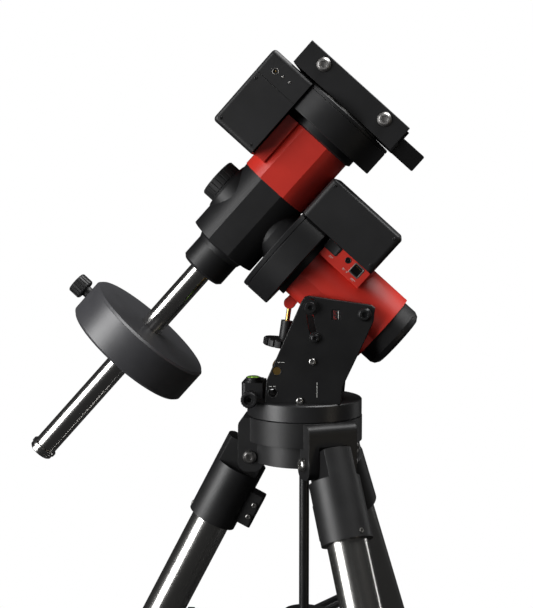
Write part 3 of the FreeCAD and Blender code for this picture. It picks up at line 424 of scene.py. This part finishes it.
def dressSidePlate(side, recipe):
    # screws, the latitude scale with its pointer, the stop screw, pin rings and index marks of one side plate
    word = "near" if side < 0 else "far"
    face = side * abs(plateFace) * 1000
    axes = ((side, 0.0, 0.0), (0.0, side, 0.0), (0.0, 0.0, 1.0))
    look = {"body": "azimuth_base", "slot": "bolt_steel"}
    for number, (x, z) in enumerate(recipe["screws"]):
        socketScrew(f"plate_screw_{word}_{number + 1}", basePoint(x, face, z), (0, side, 0), recipe["screwRadius"],
                    recipe["screwHeight"], "boltSteel", "azimuth_base")
    x, z = recipe["scaleMiddle"]
    wide, tall = recipe["scaleHalf"]
    floor = face - side * 1.1
    softBlock(f"latitude_scale_{word}", basePoint(x, floor, z), (wide, 0.35, tall), axes, finish="scaleDark", **look)
    for tick in range(recipe["tickCount"]):
        step = tick - (recipe["tickCount"] - 1) / 2
        long = 2.4 if tick % 3 == 0 else 1.5
        place = basePoint(x - 3.6 + long, floor + side * 0.3, z + step * recipe["tickGap"])
        softBlock(f"latitude_tick_{word}_{tick + 1}", place, (long, 0.15, 0.16), axes, finish="markRed", **look)
    softBlock(f"latitude_pointer_{word}", basePoint(x + 2.9, floor + side * 0.3, z), (0.35, 0.2, 5.2), axes,
              finish="markWhite", **look)
    x, z = recipe["stopScrew"]
    wide = recipe["stopRadius"]
    turnedPiece(f"stop_washer_{word}", [(0, -0.2), (wide, -0.2), (wide, 0.7), (wide - 0.4, 1.1), (0, 1.1)],
                basePoint(x, face, z), (0, side, 0), finish="darkSteel", **look)
    socketScrew(f"stop_screw_{word}", basePoint(x, face + side * 1.0, z), (0, side, 0), wide - 1.6, 4.0, "darkSteel",
                "azimuth_base")
    for number, (x, z) in enumerate(recipe["pinPlaces"]):
        hoopPiece(f"pin_ring_{word}_{number + 1}", basePoint(x, face, z), (0, side, 0), recipe["pinRing"],
                  (0.7, 0.35), finish="darkSteel", **look)
    x, z = recipe["indexLine"]
    softBlock(f"level_mark_{word}", basePoint(x, face, z), (0.3, 0.12, recipe["indexHalf"]), axes,
              finish="markWhite", **look)
    for number, (x, z) in enumerate(recipe["tags"]):
        softBlock(f"hole_mark_{word}_{number + 1}", basePoint(x, face, z), (1.6, 0.12, 0.5), axes,
                  finish="markWhite", **look)


level = {"radius": 9.5, "height": 5.5, "glass": 8.6, "circle": 3.4, "circleHeight": 0.0054, "bubble": 2.4,
         "bubbleShift": (0.0010, -0.0006, 0)}


def buildLevel(recipe):
    # a bezel, fluid and glass turned from quarter-ellipse profiles, with a flat bubble under the glass
    low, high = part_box("bubble_level")
    seat = np.array([(low[0] + high[0]) / 2, (low[1] + high[1]) / 2, low[2]])
    look = {"body": "azimuth_base", "slot": "level_vial"}
    rim, glass, tall = recipe["radius"], recipe["glass"], recipe["height"]
    bezel = turnedPiece("level_bezel", [(0, 0), (rim, 0), (rim, tall - 2.2), (rim - 0.5, tall - 1.5),
                                        (glass + 0.3, tall - 1.3), (glass, tall - 1.6), (glass, 1.2), (0, 1.2)],
                        seat, (0, 0, 1), finish="blackAnodise", body="azimuth_base", slot="black_plastic")
    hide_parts("bubble_level")
    arc = np.linspace(0, np.pi / 2, 9)
    fluid = [((glass - 0.2) * math.cos(step), 3.6 + 2.0 * math.sin(step)) for step in arc[:-1]]
    turnedPiece("level_fluid", [(0, 1.0), (glass - 0.2, 1.0)] + fluid + [(0, 5.6)], seat, (0, 0, 1),
                finish="levelFluid", **look)
    dome = [((glass - 0.05) * math.cos(step), 4.0 + 2.0 * math.sin(step)) for step in arc[:-1]]
    inside = [((glass - 0.15) * math.cos(step), 3.7 + 2.0 * math.sin(step)) for step in arc[:-1]]
    turnedPiece("level_glass", [(0, 5.7)] + inside[::-1] + dome + [(0, 6.0)], seat, (0, 0, 1), finish="clearGlass",
                **look)
    hoopPiece("level_circle", seat + np.array([0, 0, recipe["circleHeight"]]), (0, 0, 1), recipe["circle"],
              (0.25, 0.20), finish="markBlack", **look)
    bubble = [(recipe["bubble"] * math.cos(step), 5.2 + 0.45 * math.sin(step)) for step in arc[:-1]]
    turnedPiece("level_bubble", [(0, 5.0)] + bubble + [(0, 5.65)], seat + np.array(recipe["bubbleShift"]), (0, 0, 1),
                finish="bubbleGlass", **look)


panel = {"face": -60.0, "switch": (106.0, 36.75), "switchHalf": (10.2, 6.4), "jack": (130.5, 37.5),
         "plug": (146.5, 35.0), "pins": 8, "pinGap": 1.15,
         "marks": ((112.0, 27.2, 3.0), (133.5, 26.6, 2.2), (139.0, 26.6, 1.4), (150.5, 24.2, 3.4))}


def frameLoop(name, centre, half, depth, width, axes, look, columns=48):
    # a flat rounded frame: an oval-cornered outline carried inwards and back, one grid closed both ways
    around = np.linspace(0, 2 * np.pi, columns, endpoint=False)
    unit = np.stack([signedPower(np.cos(around), 0.22), signedPower(np.sin(around), 0.22)], -1)
    outer = unit * np.array(half)
    inner = unit * (np.array(half) - width)
    rows = [(outer, -0.4), (outer, depth * 0.7), (outer - unit * 0.25, depth), (inner + unit * 0.25, depth),
            (inner, depth * 0.7), (inner, -0.4)]
    rings = np.stack([np.concatenate([flat, np.full((columns, 1), lift)], 1) for flat, lift in rows]) / 1000
    basis = np.array(axes, float).T
    points = rings.reshape(-1, 3) @ basis.T + np.array(centre)
    return addPiece(name, points, gridFaces(len(rows), columns) + seamFaces(len(rows), columns), **look)


def dressPanel(recipe):
    # the switch bezel and marks, the power jack and the modular socket on the polar housing
    face = recipe["face"]
    axes = (tuple(headX), tuple(headZ), (0.0, -1.0, 0.0))     # along the panel, up it, out of it
    flat = (tuple(headX), (0.0, -1.0, 0.0), tuple(-headZ))
    black = {"body": "polar_housing", "slot": "black_plastic"}
    x, z = recipe["switch"]
    frameLoop("switch_bezel", headPoint(x, face, z), recipe["switchHalf"], 0.9, 1.5, axes,
              {"finish": "blackPlastic", **black})
    softBlock("switch_dash", headPoint(x - 4.6, face + 0.1, z), (0.35, 0.12, 1.5), flat, finish="markWhite",
              body="switch_rocker", slot="black_plastic")
    hoopPiece("switch_ring", headPoint(x + 4.6, face + 0.12, z), (0, -1, 0), 1.4, (0.3, 0.12), columns=32,
              finish="markWhite", body="switch_rocker", slot="black_plastic")
    x, z = recipe["jack"]
    hoopPiece("power_jack_rim", headPoint(x, face, z), (0, -1, 0), 3.4, (0.6, 0.35), columns=40,
              finish="darkSteel", **black)
    turnedPiece("power_jack_pin", [(0, -0.5), (0.9, -0.5), (0.9, 6.0), (0.5, 6.6), (0, 6.7)],
                headPoint(x, face + 8, z), (0, -1, 0), columns=20, finish="brass", **black)
    x, z = recipe["plug"]
    for pin in range(recipe["pins"]):
        shift = (pin - (recipe["pins"] - 1) / 2) * recipe["pinGap"]
        softBlock(f"socket_contact_{pin + 1}", headPoint(x + shift, face + 4.5, z + 3.6), (0.25, 3.2, 0.3), flat,
                  finish="brass", rows=8, columns=16, **black)
    frameLoop("modular_socket_rim", headPoint(x, face, z), (7.4, 7.4), 0.5, 1.4, axes,
              {"finish": "socketSilver", **black})
    for number, (x, z, half) in enumerate(recipe["marks"]):
        softBlock(f"panel_mark_{number + 1}", headPoint(x, face, z), (half, 0.1, 0.28), flat, finish="markWhite",
                  rows=8, columns=20, **black)
        softBlock(f"panel_mark_low_{number + 1}", headPoint(x - half * 0.3, face, z - 1.4), (half * 0.7, 0.1, 0.22),
                  flat, finish="markWhite", rows=8, columns=20, **black)


coverDress = {"face": 66.0, "ring": (-88.0, 148.0), "smallScrews": ((-77.0, 149.0), (-66.5, 149.0)),
              "cornerScrews": ((-101.0, 62.0), (-101.0, 126.0), (-52.0, 62.0)),
              "raScrews": ((58.0, 94.0), (154.0, 94.0), (154.0, 52.0))}


def dressCovers(recipe):
    # screws on both faces of the two motor covers, and the declination cover's port
    for side in (-1, 1):
        word = "near" if side < 0 else "far"
        face = side * recipe["face"]
        for number, (x, z) in enumerate(recipe["cornerScrews"]):
            socketScrew(f"dec_cover_screw_{word}_{number + 1}", headPoint(x, face, z), (0, side, 0), 1.9, 1.0,
                        "darkSteel", "polar_axis")
        for number, (x, z) in enumerate(recipe["raScrews"]):
            socketScrew(f"ra_cover_screw_{word}_{number + 1}", headPoint(x, face, z), (0, side, 0), 1.9, 1.0,
                        "darkSteel", "polar_housing")
    x, z = recipe["ring"]
    face = -recipe["face"]
    hoopPiece("dec_port_rim", headPoint(x, face, z), (0, -1, 0), 3.6, (0.55, 0.4), columns=40, finish="socketSilver",
              body="polar_axis", slot="black_plastic")
    turnedPiece("dec_port_pin", [(0, -0.5), (1.1, -0.5), (1.1, 0.6), (0.7, 1.0), (0, 1.1)],
                headPoint(x, face + 1.4, z), (0, -1, 0), columns=20, finish="brass", body="polar_axis",
                slot="black_plastic")
    for number, (x, z) in enumerate(recipe["smallScrews"]):
        socketScrew(f"dec_panel_screw_{number + 1}", headPoint(x, face, z), (0, -1, 0), 1.5, 0.9, "boltSteel",
                    "polar_axis")


headDress = {"capScrew": (238.5, 18.0), "capFace": -38.6}


def dressHead(recipe):
    # the set screw of the rear cap
    x, z = recipe["capScrew"]
    turnedPiece("rear_cap_screw", [(0, -0.5), (1.45, -0.5), (1.45, 0.8), (0.75, 0.8), (0.7, 0.2), (0, 0.2)],
                headPoint(x, recipe["capFace"], z), (0, -1, 0), hexRows=(2, 3), columns=24, finish="darkSteel",
                body="rear_cover", slot="black_plastic")


legDress = {"screwX": -34.0, "screwY": 14.0, "screwHeights": (-58.0, -75.0), "sleeveCentre": 7.0,
            "sleeveRadius": 32.0, "ringHeight": -95.0, "ringAngle": 11.0}


def legPoint(letter, outward, sideways, up):
    # a place in the leg's own frame, in millimetres from its pivot: outward, along the pivot bolt, up the leg
    fold, slide = jointOf("leg_fold_" + letter), jointOf("leg_extend_" + letter)
    upLeg = -np.array(slide["axis"], float)
    upLeg = upLeg / np.linalg.norm(upLeg)
    along = np.array(fold["axis"], float)
    out = np.cross(along, upLeg)
    return np.array(fold["pos_m"]) + (out * outward + along * sideways + upLeg * up) / 1000, out, along, upLeg


def dressLeg(letter, recipe):
    # two clamp screws with their nuts, and the set screw of one leg sleeve
    body = "leg_" + letter
    for number, up in enumerate(recipe["screwHeights"]):
        place, out, along, upLeg = legPoint(letter, recipe["screwX"], -recipe["screwY"] + 3.4, up)
        turnedPiece(f"leg_clamp_screw_{letter}_{number + 1}",
                    [(0, -0.6), (4.0, -0.6), (4.0, 3.4), (3.6, 3.9), (2.3, 3.9), (2.2, 3.7), (2.1, 1.6), (0, 1.4)],
                    place, -along, hexRows=(4, 5), finish="boltSteel", body=body, slot="bolt_steel")
        place = legPoint(letter, recipe["screwX"], recipe["screwY"], up)[0]
        socketScrew(f"leg_clamp_nut_{letter}_{number + 1}", place, along, 3.9, 2.4, "boltSteel", body)
    angle = math.radians(recipe["ringAngle"])
    reach = recipe["sleeveRadius"]
    place, out, along, upLeg = legPoint(letter, recipe["sleeveCentre"] + reach * math.cos(angle),
                                        reach * math.sin(angle), recipe["ringHeight"])
    direction = out * math.cos(angle) + along * math.sin(angle)
    turnedPiece(f"leg_set_screw_{letter}", [(0, -1.0), (3.0, -1.0), (3.0, 0.5), (2.6, 0.9), (1.6, 0.9), (1.5, 0.7),
                                            (1.45, -0.3), (0, -0.4)],
                place, direction, hexRows=(4, 5), columns=36, finish="socketSilver", body=body, slot="bolt_steel")


for side in (-1, 1):
    dressSidePlate(side, sidePlate)
buildLevel(level)
dressPanel(panel)
dressCovers(coverDress)
dressHead(headDress)
for letter in "abc":
    dressLeg(letter, legDress)
print("small parts built")


cameraPlace = {"target": (-0.049, 0.0, 0.949), "distance": 1.6, "azimuth": 6.0, "elevation": 4.8,
               "lens": 74.013158, "sensor": 36.0}


def buildCamera(place):
    # the camera sits on a sphere round the target, at an azimuth from -Y towards +X and an elevation above level
    data = bpy.data.cameras.new("camera")
    data.sensor_width = place["sensor"]
    data.lens = place["lens"]
    data.clip_end = 60
    camera = bpy.data.objects.new("camera", data)
    bpy.context.scene.collection.objects.link(camera)
    azimuth, elevation = math.radians(place["azimuth"]), math.radians(place["elevation"])
    away = Vector((math.sin(azimuth) * math.cos(elevation), -math.cos(azimuth) * math.cos(elevation),
                   math.sin(elevation)))
    target = Vector(place["target"])
    camera.location = target + away * place["distance"]
    camera.rotation_euler = (-away).to_track_quat("-Z", "Y").to_euler()
    bpy.context.scene.camera = camera
    return camera


def buildWorld(shown, lit):
    # the camera sees a bright plain backdrop, while the object is lit by a much dimmer one
    world = bpy.data.worlds.new("studio")
    world.use_nodes = True
    bpy.context.scene.world = world
    tree = world.node_tree
    dim = tree.nodes["Background"]
    dim.inputs["Color"].default_value = (*lit, 1)
    bright = addNode(tree, "ShaderNodeBackground", {"Color": (*shown, 1)})
    rays = addNode(tree, "ShaderNodeLightPath")
    both = addNode(tree, "ShaderNodeMixShader")
    linkUp(tree, rays, "Is Camera Ray", both, 0)
    linkUp(tree, dim, "Background", both, 1)
    linkUp(tree, bright, "Background", both, 2)
    linkUp(tree, both, "Shader", tree.nodes["World Output"], "Surface")


def buildFloor(size):
    # a pale plane that fades into the backdrop away from the object
    mesh = bpy.data.meshes.new("floor")
    corners = np.array([[-1, -1, 0], [1, -1, 0], [1, 1, 0], [-1, 1, 0]], float) * size
    mesh.from_pydata(corners.tolist(), [], [[0, 1, 2, 3]])
    floor = bpy.data.objects.new("floor", mesh)
    bpy.context.scene.collection.objects.link(floor)
    material = bpy.data.materials.new("floorPaper")
    material.use_nodes = True
    tree = material.node_tree
    shader = tree.nodes["Principled BSDF"]
    shader.inputs["Base Color"].default_value = (0.9, 0.9, 0.9, 1)
    shader.inputs["Roughness"].default_value = 0.8
    coords = addNode(tree, "ShaderNodeTexCoord")
    length = addNode(tree, "ShaderNodeVectorMath", operation="LENGTH")
    fade = addNode(tree, "ShaderNodeMapRange", {"From Min": 0.5, "From Max": 1.5}, interpolation_type="SMOOTHSTEP")
    glow = addNode(tree, "ShaderNodeEmission", {"Color": (1, 1, 1, 1), "Strength": 1.0})
    both = addNode(tree, "ShaderNodeMixShader")
    linkUp(tree, coords, "Object", length, 0)
    linkUp(tree, length, "Value", fade, "Value")
    linkUp(tree, fade, "Result", both, 0)
    linkUp(tree, shader, "BSDF", both, 1)
    linkUp(tree, glow, "Emission", both, 2)
    linkUp(tree, both, "Shader", tree.nodes["Material Output"], "Surface")
    mesh.materials.append(material)
    floor.visible_glossy = False
    floor.visible_diffuse = False
    return floor


softLights = {
    "keyLeft": {"place": (-2.2, -1.5, 1.35), "aim": (-0.05, 0.0, 0.95), "size": (1.3, 2.4), "power": 84.0},
    "top": {"place": (0.9, 0.1, 3.1), "aim": (-0.05, 0.0, 1.0), "size": (1.9, 1.5), "power": 78.0},
    "rimRight": {"place": (2.2, 1.6, 1.3), "aim": (0.0, 0.0, 0.9), "size": (0.3, 2.0), "power": 5.0},
    "warmRight": {"place": (1.9, -1.2, 0.5), "aim": (0.0, 0.0, 0.5), "size": (0.2, 1.6), "power": 2.2,
                  "colour": (1.0, 0.90, 0.74)},
    "fill": {"place": (0.4, -2.9, 1.3), "aim": (0.0, 0.0, 0.9), "size": (1.0, 1.0), "power": 1.5},
}


def buildLights(lights):
    # rectangular area lights, each turned towards its aim
    for name, recipe in lights.items():
        data = bpy.data.lights.new(name, "AREA")
        data.shape = "RECTANGLE"
        data.size, data.size_y = recipe["size"]
        data.energy = recipe["power"]
        data.color = recipe.get("colour", (1.0, 1.0, 1.0))
        light = bpy.data.objects.new(name, data)
        bpy.context.scene.collection.objects.link(light)
        light.location = recipe["place"]
        away = Vector(recipe["aim"]) - Vector(recipe["place"])
        light.rotation_euler = away.to_track_quat("-Z", "Y").to_euler()
        light.visible_camera = False


camera = buildCamera(cameraPlace)
buildWorld((1.0, 1.0, 1.0), (0.026, 0.026, 0.026))
buildFloor(12.0)
buildLights(softLights)
bpy.context.scene.view_settings.view_transform = "Standard"
print("studio built")
